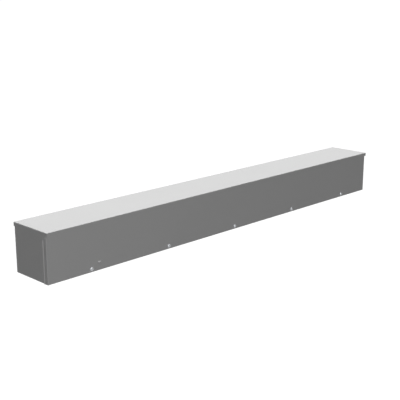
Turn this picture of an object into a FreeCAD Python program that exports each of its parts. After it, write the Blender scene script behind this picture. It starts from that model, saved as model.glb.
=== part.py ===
import FreeCAD, Part
import math
import os

# Rainproof screw cover wireway: a folded steel trough with two welded end plates, a drip hood that makes
# its top, and a slip-on front cover held by a row of screws along the bottom edge.
# Millimetres. X runs along the wireway, -Y is the cover's side, +Y is the wall's side and Z is up.
# The origin is the middle of the bottom of the whole part.

# Driving sizes
LENGTH = 1524.0  # over the drip hood
HEIGHT = 152.4  # floor to the top of the drip hood
BODY_DEPTH = 152.4  # back of the trough to the faces that the cover lies on
SHEET = 1.5  # every sheet of the wireway, 16 gauge steel
BEND = 0.4  # inside radius of every fold
RELIEF = 3.0  # notch at the end of a fold, where it runs into another one

# Drip hood
LIP_DROP = 12.7  # top of the hood to the lower edge of its lips
LIP_AHEAD = 5.0  # front lip, ahead of the cover's face
HOOD_GAP = 0.2  # air between the end and back lips and the walls that they cover

# Trough
FRONT_LIP = 32.0  # height of the upturned lip behind the cover
WELD_FLANGE = 16.0  # width of the flanges that the hood is welded to

# Raised mounting feet, pressed out of the trough's back
FOOT_STAND = 6.4  # air between the back and the wall
FOOT_BASE_R = 19.0
FOOT_FLAT_R = 11.0
FOOT_HOLE_R = 4.0
FOOT_END_INSET = 74.5  # foot to the end of the body
FOOT_EDGE_INSET = 38.1  # foot to the bottom, and to the top

# End plates
LANDING = 19.0  # width of the face that the cover's ends lie on

# Front cover
SIDE_RETURN = 12.0  # depth of the folded ends, which lap over the end plates
SIDE_GAP = 0.2  # air between the folded ends and the end plates
FLARE_RUN = 2.5  # lead-in along the back edge of the folded ends
FLARE_OUT = 2.0
SIDE_SLOPE = 10.0  # fall of the folded ends' tops towards the back, so that the cover can tilt in
TOP_RETURN = 14.5  # depth of the fold along the top, as deep as the flared ends
COVER_LIFT = 0.2  # floor to the cover's bottom edge
COVER_HEADROOM = 2.0  # cover to the underside of the hood, and its folded ends to the hood's lips
RETURN_GAP = 1.0  # air between the ends of the top return and the end plates

# Cover screws, with a pan head
SCREW_COUNT = 5
SCREW_END_INSET = 152.4  # first screw to the end of the hood
SCREW_HEIGHT = 9.5
SHANK_R = 2.4
SHANK_LENGTH = 9.5
HEAD_R = 5.6
HEAD_TALL = 2.6
HEAD_ROUND = 2.2  # along the rim of the head
COVER_HOLE_GAP = 0.5  # round the shank in the cover
LIP_HOLE_GAP = 0.1  # round the shank in the trough's lip

# Seal loop, a half-round bridge lanced out of the cover for a sealing wire
LOOP_FROM_SCREW = 28.6  # along the cover from the first screw
LOOP_HEIGHT = 23.2  # floor to the middle of the loop
LOOP_SPAN = 9.0
LOOP_RISE = 1.2  # ahead of the cover's face
LOOP_WIDTH = 8.0

# Places that follow from the sizes
outer_bend = BEND + SHEET
fold_height = 2 * outer_bend
body_end = LENGTH / 2 - SHEET - HOOD_GAP
front_reach = max(LIP_AHEAD, LOOP_RISE, HEAD_TALL)
back_reach = max(FOOT_STAND, HOOD_GAP + SHEET)
cover_face = front_reach - (front_reach + SHEET + BODY_DEPTH + back_reach) / 2
hood_front = cover_face - LIP_AHEAD
landing_face = cover_face + SHEET
back_face = landing_face + BODY_DEPTH
hood_back = back_face + HOOD_GAP + SHEET
cover_end = body_end + SIDE_GAP + SHEET
hood_underside = HEIGHT - SHEET
cover_top = hood_underside - COVER_HEADROOM
return_top = HEIGHT - LIP_DROP - COVER_HEADROOM
first_screw = -LENGTH / 2 + SCREW_END_INSET
screw_pitch = -2 * first_screw / (SCREW_COUNT - 1)
screw_places = [first_screw + screw_pitch * number for number in range(SCREW_COUNT)]
loop_place = first_screw + LOOP_FROM_SCREW

point = FreeCAD.Vector
ALONG = point(1, 0, 0)
TO_WALL = point(0, 1, 0)
UP = point(0, 0, 1)


def block(low, high):
    """A box between two opposite corners."""
    size = high - low
    return Part.makeBox(size.x, size.y, size.z, low)


def line(start, end):
    """A straight edge."""
    return Part.LineSegment(start, end).toShape()


def rounded_path(corners, radii):
    """The edges of a line through the corners, with each inner corner rounded to its radius."""
    edges = []
    start = corners[0]
    for before, corner, after, radius in zip(corners, corners[1:], corners[2:], radii):
        to_before = (before - corner).normalize()
        to_after = (after - corner).normalize()
        half_angle = to_before.getAngle(to_after) / 2
        setback = radius / math.tan(half_angle)
        middle = (to_before + to_after).normalize() * (radius / math.sin(half_angle) - radius)
        arc = Part.Arc(corner + to_before * setback, corner + middle, corner + to_after * setback)
        edges += [line(start, corner + to_before * setback), arc.toShape()]
        start = corner + to_after * setback
    return edges + [line(start, corners[-1])]


def folded_sheet(corners, axis, width):
    """A sheet folded at the corners of one of its faces, as wide as given along the fold axis.

    The sheet lies on the side that the axis crossed with the path's direction points to.
    """
    steps = [(end - start).normalize() for start, end in zip(corners, corners[1:])]
    sides = [axis.cross(step) for step in steps]
    far_corners = [corners[0] + sides[0] * SHEET]
    near_radii = []
    far_radii = []
    for number, corner in enumerate(corners[1:-1]):
        both_sides = sides[number] + sides[number + 1]
        far_corners.append(corner + both_sides * (SHEET / (1 + sides[number].dot(sides[number + 1]))))
        folds_over_sheet = axis.dot(steps[number].cross(steps[number + 1])) > 0
        near_radii.append(outer_bend if folds_over_sheet else BEND)
        far_radii.append(BEND if folds_over_sheet else outer_bend)
    far_corners.append(corners[-1] + sides[-1] * SHEET)
    near_edges = rounded_path(corners, near_radii)
    far_edges = rounded_path(far_corners[::-1], far_radii[::-1])
    far_end = line(corners[-1], far_corners[-1])
    near_end = line(far_corners[0], corners[0])
    section = Part.Face(Part.Wire(near_edges + [far_end] + far_edges + [near_end]))
    return section.extrude(axis * width)


def corner_notch():
    """What is cut from the trough's left front corner, so that it is as round as the end plate's fold."""
    clear_end = -body_end - SHEET
    clear_front = landing_face - SHEET
    side = point(-body_end, landing_face + fold_height, 0)
    front = point(-body_end + fold_height, landing_face, 0)
    fold = rounded_path([side, point(-body_end, landing_face, 0), front], [outer_bend])
    outside = [
        front,
        point(front.x, clear_front, 0),
        point(clear_end, clear_front, 0),
        point(clear_end, side.y, 0),
        side,
    ]
    return Part.Face(Part.Wire(fold + Part.makePolygon(outside).Edges)).extrude(UP * HEIGHT)


def seal_loop():
    """The outer half-round of the seal loop, in front of the trough's lip, and the hollow beneath it."""
    radius = (LOOP_SPAN**2 / 4 + LOOP_RISE**2) / (2 * LOOP_RISE)
    tip = cover_face - LOOP_RISE
    left_side = point(loop_place - LOOP_WIDTH / 2, tip + radius, LOOP_HEIGHT)
    outside = Part.makeCylinder(radius, LOOP_WIDTH, left_side, ALONG)
    hollow = Part.makeCylinder(radius - SHEET, LOOP_WIDTH, left_side, ALONG)
    front_low = point(left_side.x, tip, LOOP_HEIGHT - radius)
    front_high = point(left_side.x + LOOP_WIDTH, landing_face, LOOP_HEIGHT + radius)
    return outside.common(block(front_low, front_high)), hollow


def mounting_feet(base):
    """Four blunt cones standing on a plane behind the trough, at the corners of the mounting pattern."""
    across = body_end - FOOT_END_INSET
    places = [
        point(side * across, base, height)
        for side in (-1, 1)
        for height in (FOOT_EDGE_INSET, HEIGHT - FOOT_EDGE_INSET)
    ]
    cones = [Part.makeCone(FOOT_BASE_R, FOOT_FLAT_R, FOOT_STAND, place, TO_WALL) for place in places]
    holes = [Part.makeCylinder(FOOT_HOLE_R, FOOT_STAND + SHEET, place, TO_WALL) for place in places]
    return cones, holes


def screw_holes(gap, base):
    """Holes along the screws' row, through one sheet."""
    places = [point(place, base, SCREW_HEIGHT) for place in screw_places]
    return [Part.makeCylinder(SHANK_R + gap, SHEET, place, TO_WALL) for place in places]


def make_trough():
    """Lip, bottom, back and weld flange folded from one sheet, with its feet and screw holes."""
    path = [
        point(-body_end, landing_face, FRONT_LIP),
        point(-body_end, landing_face, 0),
        point(-body_end, back_face, 0),
        point(-body_end, back_face, hood_underside),
        point(-body_end, back_face - WELD_FLANGE, hood_underside),
    ]
    trough = folded_sheet(path, ALONG, 2 * body_end)
    notch = corner_notch()
    mirrored_notch = notch.mirror(point(), ALONG)
    flange_low = point(-body_end, back_face - WELD_FLANGE, hood_underside - fold_height)
    flange_notch = block(flange_low, point(-body_end + RELIEF, back_face, HEIGHT))
    trough = trough.cut([notch, mirrored_notch, flange_notch, flange_notch.mirror(point(), ALONG)])
    raised, holes = mounting_feet(back_face)
    hollows, _ = mounting_feet(back_face - SHEET)
    trough = trough.fuse(raised).cut(hollows + holes)
    return trough.cut(screw_holes(LIP_HOLE_GAP, landing_face)).removeSplitter()


def make_end_plate(trough):
    """The left end plate: wall and landing face, with a weld flange along the top, trimmed to the trough."""
    landing_end = -body_end + LANDING
    path = [
        point(-body_end, back_face - SHEET, SHEET),
        point(-body_end, landing_face, SHEET),
        point(landing_end, landing_face, SHEET),
    ]
    plate = folded_sheet(path, UP, hood_underside - SHEET)
    fold_start = hood_underside - fold_height
    above_fold = block(
        point(-body_end, landing_face, fold_start), point(-body_end + outer_bend, back_face, HEIGHT)
    )
    lip_place = block(point(-body_end, landing_face, 0), point(landing_end, landing_face + SHEET, FRONT_LIP))
    plate = plate.cut([above_fold, lip_place])
    flange_front = landing_face + outer_bend + RELIEF
    flange_back = back_face - WELD_FLANGE - RELIEF
    flange_path = [
        point(-body_end, flange_front, fold_start),
        point(-body_end, flange_front, hood_underside),
        point(-body_end + WELD_FLANGE, flange_front, hood_underside),
    ]
    flange = folded_sheet(flange_path, TO_WALL, flange_back - flange_front)
    return plate.fuse(flange).cut(trough).removeSplitter()


def make_drip_hood():
    """The hood: a shallow cap with a lip on all four sides, welded and ground flush at its corners."""
    low = point(-LENGTH / 2, hood_front, HEIGHT - LIP_DROP)
    high = point(LENGTH / 2, hood_back, HEIGHT)
    wall = point(SHEET, SHEET, 0)
    cap = block(low, high)
    hollow = block(low + wall - UP * SHEET, high - wall - UP * SHEET)
    folds = [edge for edge in cap.Edges if edge.BoundBox.ZMin > low.z + SHEET]
    inside_folds = [edge for edge in hollow.Edges if edge.BoundBox.ZMin > low.z]
    return cap.makeFillet(outer_bend, folds).cut(hollow.makeFillet(BEND, inside_folds))


def make_front_cover():
    """The cover: a face with flared ends that lap over the end plates, and a folded top under the hood."""
    side_edge = cover_face + SIDE_RETURN
    flare_edge = side_edge + FLARE_RUN
    flare_end = cover_end + FLARE_OUT
    path = [
        point(-flare_end, flare_edge, COVER_LIFT),
        point(-cover_end, side_edge, COVER_LIFT),
        point(-cover_end, cover_face, COVER_LIFT),
        point(cover_end, cover_face, COVER_LIFT),
        point(cover_end, side_edge, COVER_LIFT),
        point(flare_end, flare_edge, COVER_LIFT),
    ]
    cover = folded_sheet(path, UP, return_top - COVER_LIFT)
    flat_end = cover_end - outer_bend
    slope = [
        point(-flare_end, cover_face, return_top),
        point(-flare_end, flare_edge + SHEET, return_top - SIDE_SLOPE),
        point(-flare_end, flare_edge + SHEET, return_top),
        point(-flare_end, cover_face, return_top),
    ]
    above_slope = Part.Face(Part.makePolygon(slope)).extrude(ALONG * (flare_end - flat_end))
    cover = cover.cut([above_slope, above_slope.mirror(point(), ALONG)])
    tongue_low = point(-flat_end, cover_face, return_top)
    cover = cover.fuse(block(tongue_low, point(flat_end, landing_face, cover_top)))
    return_end = body_end - LANDING - RETURN_GAP
    fold_start = cover_top - fold_height
    notch_low = point(-return_end - RELIEF, cover_face, fold_start)
    cover = cover.cut(block(notch_low, point(return_end + RELIEF, landing_face, HEIGHT)))
    return_path = [
        point(return_end, cover_face, fold_start),
        point(return_end, cover_face, cover_top),
        point(return_end, cover_face + TOP_RETURN, cover_top),
    ]
    cover = cover.fuse(folded_sheet(return_path, -ALONG, 2 * return_end))
    loop, hollow = seal_loop()
    return cover.fuse(loop).cut(screw_holes(COVER_HOLE_GAP, cover_face) + [hollow]).removeSplitter()


def make_cover_screw(place):
    """A screw with its pan head on the cover: head and shank."""
    seat = point(place, cover_face, SCREW_HEIGHT)
    head = Part.makeCylinder(HEAD_R, HEAD_TALL, seat, -TO_WALL)
    rim = [edge for edge in head.Edges if edge.BoundBox.YMax < seat.y - HEAD_TALL / 2]
    shank = Part.makeCylinder(SHANK_R, SHANK_LENGTH, seat, TO_WALL)
    return head.makeFillet(HEAD_ROUND, rim).fuse(shank).removeSplitter()


def make_nodes():
    """Every piece of the wireway, by name."""
    trough = make_trough()
    left_plate = make_end_plate(trough)
    right_plate = left_plate.mirror(point(), ALONG).cut(trough)
    nodes = {
        "trough": trough,
        "end_plate_left": left_plate,
        "end_plate_right": right_plate,
        "drip_hood": make_drip_hood(),
        "front_cover": make_front_cover(),
    }
    for number, place in enumerate(screw_places, start=1):
        nodes[f"cover_screw_{number}"] = make_cover_screw(place)
    return nodes


os.makedirs("parts", exist_ok=True)
for name, shape in make_nodes().items():
    shape.exportStep(f"parts/{name}.step")
    print(name, len(shape.Solids), "solid,", round(shape.Volume / 1000, 2), "cm3, valid", shape.isValid())
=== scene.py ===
# %% [markdown]
# # A screw cover wireway in grey powder coat
# A wireway is a long sheet steel box that carries loose wires along a wall. This one is the rainproof
# kind: a folded trough with two end plates, a drip hood for a roof, and a front cover that slips under
# the hood and is held by five screws along its bottom edge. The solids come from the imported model, at
# their real size. This script gives them their finish, and adds the small forms that a solid leaves out.

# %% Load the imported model
import math

import bpy
import mathutils
import numpy as np
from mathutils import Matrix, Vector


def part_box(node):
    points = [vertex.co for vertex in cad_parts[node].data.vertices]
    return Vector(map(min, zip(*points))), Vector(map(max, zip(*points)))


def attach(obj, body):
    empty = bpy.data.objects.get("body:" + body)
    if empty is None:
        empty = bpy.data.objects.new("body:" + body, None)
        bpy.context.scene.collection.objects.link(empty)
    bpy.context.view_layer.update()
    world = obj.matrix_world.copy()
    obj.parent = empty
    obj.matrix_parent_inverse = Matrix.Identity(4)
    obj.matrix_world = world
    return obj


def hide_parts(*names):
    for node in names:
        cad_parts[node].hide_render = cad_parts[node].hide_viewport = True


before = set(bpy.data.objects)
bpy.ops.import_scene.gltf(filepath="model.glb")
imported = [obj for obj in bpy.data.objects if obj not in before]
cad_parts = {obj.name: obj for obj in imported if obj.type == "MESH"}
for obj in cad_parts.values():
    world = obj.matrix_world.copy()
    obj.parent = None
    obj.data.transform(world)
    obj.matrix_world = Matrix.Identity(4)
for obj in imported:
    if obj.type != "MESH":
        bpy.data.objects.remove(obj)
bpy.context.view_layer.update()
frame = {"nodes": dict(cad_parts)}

MM = 0.001
print("nodes:", ", ".join(frame["nodes"]))

# %% [markdown]
# ## Colours and nodes
# A colour is easiest to write as a hex value, which is in sRGB, the scale of a screen. Light adds up on a
# linear scale, so the shader needs the linear value. One function does the step. A second one adds a
# shader node, sets its options and sockets, and wires it, so that each material below reads as a list.

# %% Helpers for colours and shader nodes
def linear(hex_colour):
    """Each sRGB channel c becomes c / 12.92 in the dark, and ((c + 0.055) / 1.055) ** 2.4 above it."""
    channels = np.array([int(hex_colour[start:start + 2], 16) / 255 for start in (1, 3, 5)])
    light = np.where(channels <= 0.04045, channels / 12.92, ((channels + 0.055) / 1.055) ** 2.4)
    return (*light.tolist(), 1.0)


def add_node(tree, kind, options=None, sockets=None, links=None):
    """Add one shader node. Links give the output socket that feeds each input."""
    node = tree.nodes.new(kind)
    for name, value in (options or {}).items():
        setattr(node, name, value)
    for name, value in (sockets or {}).items():
        node.inputs[name].default_value = value
    for name, source in (links or {}).items():
        tree.links.new(source, node.inputs[name])
    return node


# The Mix node keeps a set of sockets for each kind of value. These are the places of its colour ones.
MIX_FIRST, MIX_SECOND, MIX_RESULT = 6, 7, 2


def new_material(name):
    """A material with an empty node tree, and its output node."""
    material = bpy.data.materials.new(name)
    material.use_nodes = True
    material.node_tree.nodes.clear()
    return material, add_node(material.node_tree, "ShaderNodeOutputMaterial")


print("mid grey #808080 is", round(linear("#808080")[0], 3), "on the linear scale")

# %% [markdown]
# ## Powder coat
# The sheet is sprayed with dry polyester powder and baked. The powder melts and levels, but not quite: it
# keeps a faint ripple that painters call orange peel, and fine grit in it holds the gloss down to a low
# satin. A flat grey shader would give the right shade and no surface. So the grey is mixed from two near
# shades in wide clouds, the roughness wanders with the ripple, and a very low bump breaks up the
# reflections. A smooth coat would mirror about 4 % of the light straight on, and the grit scatters half
# of that, so the specular level is half of the usual 0.5. The ripple of a real coat is about 2 mm wide.
# At the picture's scale that is less than a pixel, so it is drawn 6 mm wide here, and lower.

# %% Powder coat material
COAT_GREY = "#A5A5A5"
COAT_SHADE = "#A2A2A2"
CLOUD_SIZE = 180 * MM
RIPPLE_WIDTH = 6 * MM
RIPPLE_HEIGHT = 0.02 * MM
COAT_IOR = 1.5
COAT_SPECULAR = 0.25
COAT_ROUGHNESS = (0.55, 0.65)


def powder_coat():
    """Baked polyester powder on steel: even colour, a low satin gloss, and a low orange peel."""
    material, output = new_material("polyester_powder_coat_on_steel")
    tree = material.node_tree
    place = add_node(tree, "ShaderNodeTexCoord").outputs["Object"]
    clouds = add_node(tree, "ShaderNodeTexNoise", sockets={"Scale": 1 / CLOUD_SIZE, "Detail": 3.0},
                      links={"Vector": place})
    ripple = add_node(tree, "ShaderNodeTexNoise", sockets={"Scale": 1 / RIPPLE_WIDTH, "Detail": 1.0},
                      links={"Vector": place})
    colour = add_node(tree, "ShaderNodeMix", {"data_type": "RGBA"},
                      {MIX_FIRST: linear(COAT_SHADE), MIX_SECOND: linear(COAT_GREY)},
                      {"Factor": clouds.outputs["Fac"]})
    gloss = add_node(tree, "ShaderNodeMapRange", sockets=dict(zip(("To Min", "To Max"), COAT_ROUGHNESS)),
                     links={"Value": ripple.outputs["Fac"]})
    bump = add_node(tree, "ShaderNodeBump", sockets={"Distance": RIPPLE_HEIGHT},
                    links={"Height": ripple.outputs["Fac"]})
    coat = add_node(tree, "ShaderNodeBsdfPrincipled",
                    sockets={"IOR": COAT_IOR, "Specular IOR Level": COAT_SPECULAR},
                    links={"Base Color": colour.outputs[MIX_RESULT], "Roughness": gloss.outputs["Result"],
                           "Normal": bump.outputs["Normal"]})
    tree.links.new(coat.outputs["BSDF"], output.inputs["Surface"])
    return material


coat = powder_coat()
COATED_NODES = ["trough", "end_plate_left", "end_plate_right", "drip_hood", "front_cover"]
for name in COATED_NODES:
    frame["nodes"][name].material_slots[0].material = coat
print("powder coat on", len(COATED_NODES), "sheet pieces")

# %% [markdown]
# ## Zinc plate
# The cover screws are steel with a thin coat of zinc. Zinc plate is a pale, slightly cool metal. On a flat
# sheet it can be a blurred mirror, but screws are plated in a tumbling barrel, which leaves a satin with
# one wide, soft highlight. It is cloudy where the bath has left its marks. The clouds change its shade and
# its roughness together, because a rougher patch of zinc also looks darker.

# %% Zinc plate material
ZINC_BRIGHT = "#B2B4B6"
ZINC_CLOUDY = "#9EA0A3"
ZINC_CLOUD_SIZE = 3 * MM
ZINC_ROUGHNESS = (0.58, 0.48)


def zinc_plate():
    """Electroplated zinc on steel: a pale metal with cloudy gloss."""
    material, output = new_material("bright_zinc_plate_on_steel")
    tree = material.node_tree
    place = add_node(tree, "ShaderNodeTexCoord").outputs["Object"]
    clouds = add_node(tree, "ShaderNodeTexNoise", sockets={"Scale": 1 / ZINC_CLOUD_SIZE, "Detail": 4.0},
                      links={"Vector": place})
    colour = add_node(tree, "ShaderNodeMix", {"data_type": "RGBA"},
                      {MIX_FIRST: linear(ZINC_CLOUDY), MIX_SECOND: linear(ZINC_BRIGHT)},
                      {"Factor": clouds.outputs["Fac"]})
    gloss = add_node(tree, "ShaderNodeMapRange", sockets=dict(zip(("To Min", "To Max"), ZINC_ROUGHNESS)),
                     links={"Value": clouds.outputs["Fac"]})
    metal = add_node(tree, "ShaderNodeBsdfPrincipled", sockets={"Metallic": 1.0},
                     links={"Base Color": colour.outputs[MIX_RESULT], "Roughness": gloss.outputs["Result"]})
    tree.links.new(metal.outputs["BSDF"], output.inputs["Surface"])
    return material


zinc = zinc_plate()
print("made", zinc.name)

# %% [markdown]
# ## Cover screws
# Each screw is cold headed: a pan head with a rounded rim and a cross recess punched into its top, and a
# rolled thread. It could be cut out of a cylinder with booleans, but those leave long thin faces that
# shade badly. Every cross section is a ring round the screw's axis whose radius depends on the turn, so
# the whole screw is one surface on a grid of height and turn, with a point at each end.

# %% Screw surface
TURNS = 64
RIM_STEPS = 9
SHARP_ANGLE = math.radians(30)
SHANK_R = 2.4 * MM
THREAD_PITCH = 1.06 * MM
THREAD_DEPTH = 0.5 * MM
STEPS_PER_PITCH = 8
HEAD_ROUND = 2.2 * MM
WINGS = 4
WING_R = 2.7 * MM
WING_HALF_WIDTH = 0.6 * MM
RECESS_DEPTH = 1.6 * MM
RECESS_TAPER = 0.5

turn = np.linspace(0, 2 * math.pi, TURNS, endpoint=False)


def closed_surface(name, rings):
    """A mesh from an array of rings by turns by xyz: quads between the rings, and a fan at each end."""
    count, turns, _ = rings.shape
    points = np.vstack([rings.reshape(-1, 3), rings[:1].mean(axis=1), rings[-1:].mean(axis=1)])
    this = np.arange(turns)
    after = (this + 1) % turns
    start = np.arange(count - 1)[:, None] * turns
    quads = np.stack([start + this, start + after, start + turns + after, start + turns + this], axis=-1)
    last = (count - 1) * turns
    first_fan = np.stack([after, this, np.full(turns, count * turns)], axis=-1)
    last_fan = np.stack([last + this, last + after, np.full(turns, count * turns + 1)], axis=-1)
    faces = quads.reshape(-1, 4).tolist() + first_fan.tolist() + last_fan.tolist()
    mesh = bpy.data.meshes.new(name)
    mesh.from_pydata(points.tolist(), [], faces)
    mesh.validate()
    mesh.shade_smooth()
    mesh.set_sharp_from_angle(angle=SHARP_ANGLE)
    piece = bpy.data.objects.new(name, mesh)
    bpy.context.scene.collection.objects.link(piece)
    return piece


def screw_rings(tip, top, head_r):
    """Radius and height of every ring of the screw, from the shank's tip to the bottom of the recess.

    A thread's radius falls from its crest by its depth times a triangle wave of height over pitch less
    the share of a turn. The rim of the head is a quarter circle. The recess has four wings: its radius is
    a wing's half width over the sine of the turn from the wing's middle, or the wing's length where that
    is less, and it tapers towards the bottom.
    """
    level = np.ones(TURNS)
    quarter = np.linspace(0, math.pi / 2, RIM_STEPS)[:, None]
    thread_heights = np.arange(tip + THREAD_PITCH / 2, -THREAD_PITCH / 2, THREAD_PITCH / STEPS_PER_PITCH)
    phase = (thread_heights[:, None] / THREAD_PITCH - turn / (2 * math.pi)) % 1
    step = 2 * math.pi / WINGS
    from_middle = np.abs((turn + step / 2) % step - step / 2)
    recess = WING_HALF_WIDTH / np.maximum(np.sin(from_middle), WING_HALF_WIDTH / WING_R)
    bands = [
        ((SHANK_R - THREAD_DEPTH) * level, tip * level),
        (SHANK_R - THREAD_DEPTH * np.abs(2 * phase - 1), thread_heights[:, None] * level),
        (SHANK_R * level, -THREAD_PITCH / 2 * level),
        (SHANK_R * level, 0 * level),
        (head_r * level, 0 * level),
        ((head_r - HEAD_ROUND * (1 - np.cos(quarter))) * level,
         (top - HEAD_ROUND * (1 - np.sin(quarter))) * level),
        (recess, top * level),
        (recess * RECESS_TAPER, (top - RECESS_DEPTH) * level),
    ]
    return np.vstack([radius for radius, _ in bands]), np.vstack([height for _, height in bands])


cover_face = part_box("front_cover")[0].y
screw_names = sorted(name for name in frame["nodes"] if name.startswith("cover_screw"))
for name in screw_names:
    low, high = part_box(name)
    radii, heights = screw_rings(cover_face - high.y, cover_face - low.y, (high.x - low.x) / 2)
    rings = np.stack([
        (low.x + high.x) / 2 + radii * np.cos(turn),
        cover_face - heights,
        (low.z + high.z) / 2 + radii * np.sin(turn),
    ], axis=-1)
    screw = closed_surface(name.replace("cover_screw", "pan_head_screw"), rings)
    screw.data.materials.append(zinc)
    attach(screw, "root")
    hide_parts(name)
print(len(screw_names), "screws of", len(screw.data.polygons), "faces")

# %% [markdown]
# ## White ground
# The picture is a plain product shot on white. A floor that is bright enough to look white would throw
# its light back at the sheet metal, and the picture shows no such light. So the floor and the world have
# two faces, and the Light Path node chooses between them: a near white one for the camera and for mirrors,
# and a dark one for the rays that light other things. Part of the white face is plain diffuse, which
# keeps the object's shadow. Neither is sampled as a lamp, because a glow that lights nothing would only
# add noise.

# %% Floor and world
FLOOR_SIDE = 80.0
FLOOR_DROP = 0.2 * MM
FLOOR_GREY = "#404040"
FLOOR_SEEN_GREY = "#6C6C6C"
FLOOR_GLOW = 0.80


def seen_directly(tree):
    """1 for rays from the camera, a mirror or a lens, and 0 for the rays that light other things."""
    path = add_node(tree, "ShaderNodeLightPath").outputs
    seen = add_node(tree, "ShaderNodeMath", {"operation": "MAXIMUM"})
    tree.links.new(path["Is Camera Ray"], seen.inputs[0])
    tree.links.new(path["Is Glossy Ray"], seen.inputs[1])
    both = add_node(tree, "ShaderNodeMath", {"operation": "MAXIMUM"})
    tree.links.new(seen.outputs["Value"], both.inputs[0])
    tree.links.new(path["Is Transmission Ray"], both.inputs[1])
    return both.outputs["Value"]


def studio_floor():
    """A matt floor that looks white, keeps shadows, and throws little light back."""
    material, output = new_material("matt_white_floor")
    tree = material.node_tree
    matt = add_node(tree, "ShaderNodeBsdfDiffuse", sockets={"Color": linear(FLOOR_GREY)})
    pale = add_node(tree, "ShaderNodeBsdfDiffuse", sockets={"Color": linear(FLOOR_SEEN_GREY)})
    glow = add_node(tree, "ShaderNodeEmission", sockets={"Strength": FLOOR_GLOW})
    white = add_node(tree, "ShaderNodeAddShader")
    tree.links.new(pale.outputs["BSDF"], white.inputs[0])
    tree.links.new(glow.outputs["Emission"], white.inputs[1])
    mix = add_node(tree, "ShaderNodeMixShader", links={"Fac": seen_directly(tree)})
    tree.links.new(matt.outputs["BSDF"], mix.inputs[1])
    tree.links.new(white.outputs["Shader"], mix.inputs[2])
    tree.links.new(mix.outputs["Shader"], output.inputs["Surface"])
    material.cycles.emission_sampling = "NONE"
    return material


half = FLOOR_SIDE / 2
corners = [(-half, -half, -FLOOR_DROP), (half, -half, -FLOOR_DROP), (half, half, -FLOOR_DROP),
           (-half, half, -FLOOR_DROP)]
floor_mesh = bpy.data.meshes.new("floor")
floor_mesh.from_pydata(corners, [], [(0, 1, 2, 3)])
floor_mesh.materials.append(studio_floor())
floor = bpy.data.objects.new("floor", floor_mesh)
bpy.context.scene.collection.objects.link(floor)

world = bpy.data.worlds.new("white_studio")
bpy.context.scene.world = world
world.use_nodes = True
world.cycles.sampling_method = "NONE"
sky_tree = world.node_tree
sky_tree.nodes.clear()
sky = add_node(sky_tree, "ShaderNodeBackground", sockets={"Color": (1.0, 1.0, 1.0, 1.0)},
               links={"Strength": seen_directly(sky_tree)})
add_node(sky_tree, "ShaderNodeOutputWorld", links={"Surface": sky.outputs["Background"]})
print("floor and world made")

# %% [markdown]
# ## Lamps
# The shades in the picture tell where its light came from. The top is far brighter than the front, so
# most of the light comes from straight above. A wide soft source there casts no clear shadow under the
# hood's lip, so the overhead lamp casts none. A weak lamp from the front and a disc well behind the camera
# light the cover and the near end. Both shine down at nearly the camera's own angle, so that the lip hides
# its own shadow, and the disc's light falls off along the cover as it does in the picture. A last lamp is
# level with the floor and comes from behind. It reaches only the sides that this camera doesn't see.

# %% Lamps
TOP_LIGHT = 1.648
FRONT_LIGHT = 0.140
FRONT_RISE = math.radians(21)
FLASH_LIGHT = 0.409
FLASH_PLACE = (-3.8, -3.65, 1.55)
FLASH_WIDTH = 0.8
FILL_LIGHT = 0.25
FILL_AIM = (-0.6, -0.8, 0)
SUN_WIDTH = math.radians(6)


def add_lamp(name, kind, aim, energy, **settings):
    """A lamp at the origin that shines along the given direction."""
    lamp = bpy.data.lights.new(name, kind)
    lamp.energy = energy
    for setting, value in settings.items():
        setattr(lamp, setting, value)
    holder = bpy.data.objects.new(name, lamp)
    holder.rotation_euler = mathutils.Vector(aim).to_track_quat("-Z", "Y").to_euler()
    bpy.context.scene.collection.objects.link(holder)
    return holder


near_end = (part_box("end_plate_left")[0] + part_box("drip_hood")[0]) / 2
flash_aim = near_end - mathutils.Vector(FLASH_PLACE)
overhead = add_lamp("overhead", "SUN", (0, 0, -1), TOP_LIGHT * math.pi, angle=SUN_WIDTH, use_shadow=False)
front = add_lamp("front", "SUN", (0, math.cos(FRONT_RISE), -math.sin(FRONT_RISE)), FRONT_LIGHT * math.pi,
                 angle=SUN_WIDTH)
fill = add_lamp("behind", "SUN", FILL_AIM, FILL_LIGHT * math.pi, angle=0)
flash = add_lamp("camera_side", "AREA", flash_aim, FLASH_LIGHT * math.pi**2 * flash_aim.length_squared,
                 shape="DISK", size=FLASH_WIDTH)
flash.location = FLASH_PLACE

# The overhead lamp casts no shadow, so the trough under the hood is left out of its light.
roofed = bpy.data.collections.new("under_the_hood")
roofed.objects.link(frame["nodes"]["trough"])
roofed.collection_objects[0].light_linking.link_state = "EXCLUDE"
overhead.light_linking.receiver_collection = roofed
print("lamps:", ", ".join(lamp.name for lamp in (overhead, front, fill, flash)))

# %% [markdown]
# ## Camera
# The camera stands in front of the left end, a little above the wireway. Its place, turn and focal length
# were worked out from the lines of the box in the photograph.

# %% Camera
FRAME_PIXELS = 400
FOCAL_PIXELS = 832.44
CAMERA_PLACE = (-2.00017, -1.89735, 0.81941)
CAMERA_DOWN = 14.896
CAMERA_TURN = -45.223

camera_data = bpy.data.cameras.new("camera")
camera_data.lens = camera_data.sensor_width * FOCAL_PIXELS / FRAME_PIXELS
camera = bpy.data.objects.new("camera", camera_data)
camera.location = CAMERA_PLACE
camera.rotation_euler = (math.radians(90 - CAMERA_DOWN), 0, math.radians(CAMERA_TURN))
bpy.context.scene.collection.objects.link(camera)
bpy.context.scene.camera = camera
bpy.context.scene.view_settings.view_transform = "Standard"
print("lens", round(camera_data.lens, 2), "mm")
